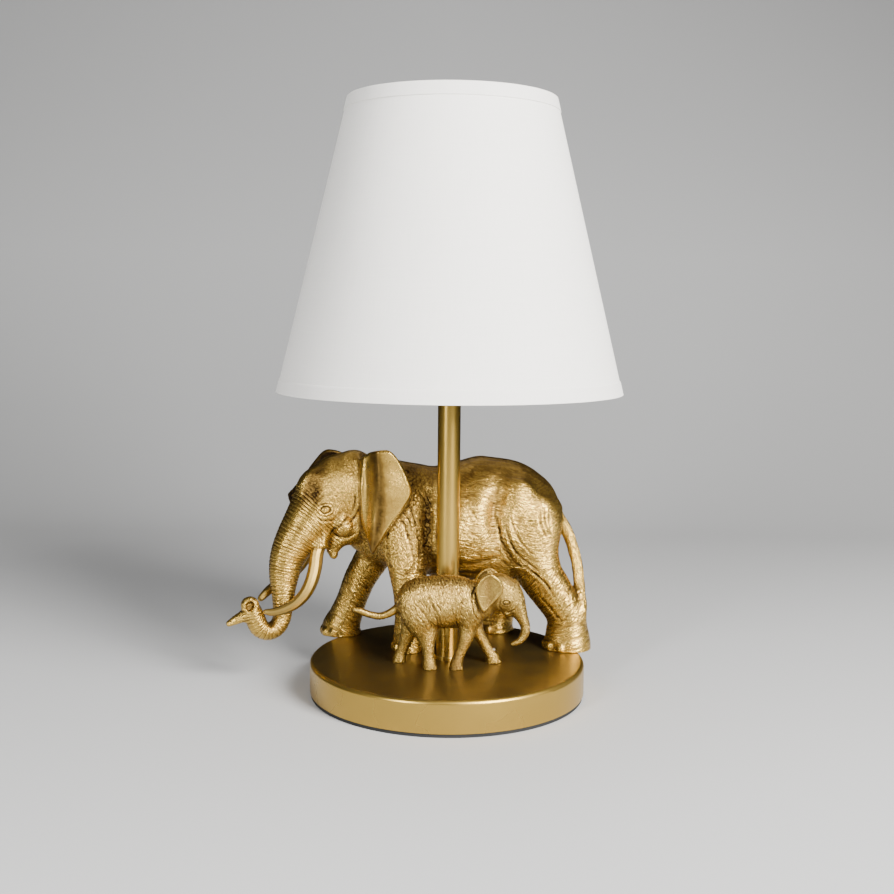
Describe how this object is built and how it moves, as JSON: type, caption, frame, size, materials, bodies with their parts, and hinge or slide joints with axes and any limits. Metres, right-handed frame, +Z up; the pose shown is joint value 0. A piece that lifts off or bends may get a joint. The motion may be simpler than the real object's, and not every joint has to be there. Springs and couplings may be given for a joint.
{
  "type": "elephant table lamp",
  "caption": "Table lamp: a gold walking elephant and her calf on a round base, a slim stem behind the calf and a white tapered fabric shade.",
  "frame": {"origin": "centre of the underside of the pad under the round base, which is also the foot of the stem axis", "axes": "+Z up along the stem, +X towards the right of the side that the calf stands on, +Y towards the adult elephant"},
  "size_m": [0.2342, 0.203, 0.349],
  "materials": {
    "gold_paint": "satin",
    "iron": "matte",
    "black_pad": "matte",
    "black_bush": "matte",
    "zinc_steel": "satin",
    "antique_gold": "satin",
    "tusk_gold": "satin",
    "brass": "satin",
    "holder_bronze": "satin",
    "ceramic_white": "matte",
    "white_wire": "gloss",
    "shade_linen": "matte",
    "shade_tape": "matte",
    "bulb_glass": "gloss",
    "nickel": "satin",
    "filament": "matte"
  },
  "bodies": {
    "lamp": {"base_cover": "gold_paint", "base_weight": "iron", "base_pad": "black_pad", "cord_bushing": "black_bush", "rod_washer": "zinc_steel", "rod_nut": "zinc_steel", "threaded_rod": "zinc_steel", "stem_collar": "gold_paint", "stem_tube": "gold_paint", "stem_cap": "gold_paint", "adult_elephant": "antique_gold", "adult_left_tusk": "tusk_gold", "adult_right_tusk": "tusk_gold", "adult_screws": "zinc_steel", "calf_elephant": "antique_gold", "calf_screws": "zinc_steel", "holder_cap": "brass", "cap_set_screw": "zinc_steel", "holder_skirt": "holder_bronze", "holder_insert": "ceramic_white", "screw_shell": "brass", "centre_contact": "brass", "terminal_screws": "brass", "switch_body": "ceramic_white"},
    "switch": {"switch_shaft": "zinc_steel", "switch_knob": "holder_bronze"},
    "seat": {"seat_ring": "holder_bronze"},
    "shade": {"fitter_plate": "white_wire", "shade_arms": "white_wire", "shade_bottom_wire": "white_wire", "shade_top_wire": "white_wire", "shade_cone": "shade_linen", "shade_top_tape": "shade_tape", "shade_bottom_tape": "shade_tape"},
    "clamp": {"clamp_ring": "holder_bronze"},
    "bulb_rise": {"bulb_contact": "nickel"},
    "bulb": {"bulb_insulator": "black_bush", "bulb_cap": "nickel", "bulb_glass": "bulb_glass", "bulb_stem": "bulb_glass", "bulb_filaments": "filament"}
  },
  "joints": [
    {"name": "switch_turn", "type": "hinge", "parent": "lamp", "child": "switch", "pos_m": [0, 0, 0.216], "axis": [1, 0, 0], "continuous": true},
    {"name": "shade_turn", "type": "hinge", "parent": "lamp", "child": "seat", "pos_m": [0, 0, 0.234], "axis": [0, 0, 1], "continuous": true},
    {"name": "shade_lift", "type": "slide", "parent": "seat", "child": "shade", "axis": [0, 0, 1], "range_m": [0, 0.15]},
    {"name": "clamp_turn", "type": "hinge", "parent": "shade", "child": "clamp", "pos_m": [0, 0, 0.2356], "axis": [0, 0, 1], "continuous": true},
    {"name": "bulb_travel", "type": "slide", "parent": "lamp", "child": "bulb_rise", "axis": [0, 0, 1], "range_m": [0, 0.01817]},
    {"name": "bulb_turn", "type": "hinge", "parent": "bulb_rise", "child": "bulb", "pos_m": [0, 0, 0.2224], "axis": [0, 0, 1], "range_deg": [0, 1800]}
  ],
  "couplings": [
    {"joint": "bulb_travel", "follows": "bulb_turn", "m_per_rad": 0.00057757}
  ]
}
